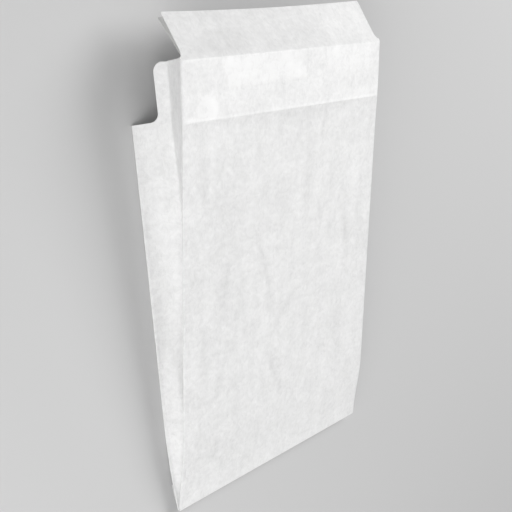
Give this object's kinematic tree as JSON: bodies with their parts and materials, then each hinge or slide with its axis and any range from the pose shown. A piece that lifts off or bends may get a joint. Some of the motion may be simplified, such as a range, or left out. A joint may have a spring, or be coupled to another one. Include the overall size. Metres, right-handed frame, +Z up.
{
  "type": "gusseted envelope",
  "caption": "Opened gusset envelope of fibrous nonwoven with a flat bottom seam, pleated sides, throat tabs, creased closure flap and a self-seal strip under a peel-off liner.",
  "frame": {"origin": "centre of the bounding box in plan, on the plane the envelope lies on", "axes": "+Y from the bottom seam to the closure flap, +Z up out of the front panel, +X across the width"},
  "size_m": [0.2504, 0.4172, 0.0652],
  "materials": {
    "nonwoven_sheet": "satin",
    "seal_adhesive": "gloss",
    "liner_paper": "satin"
  },
  "bodies": {
    "root": {"envelope_body": "nonwoven_sheet", "adhesive_strip": "seal_adhesive", "release_liner": "liner_paper"}
  },
  "joints": []
}
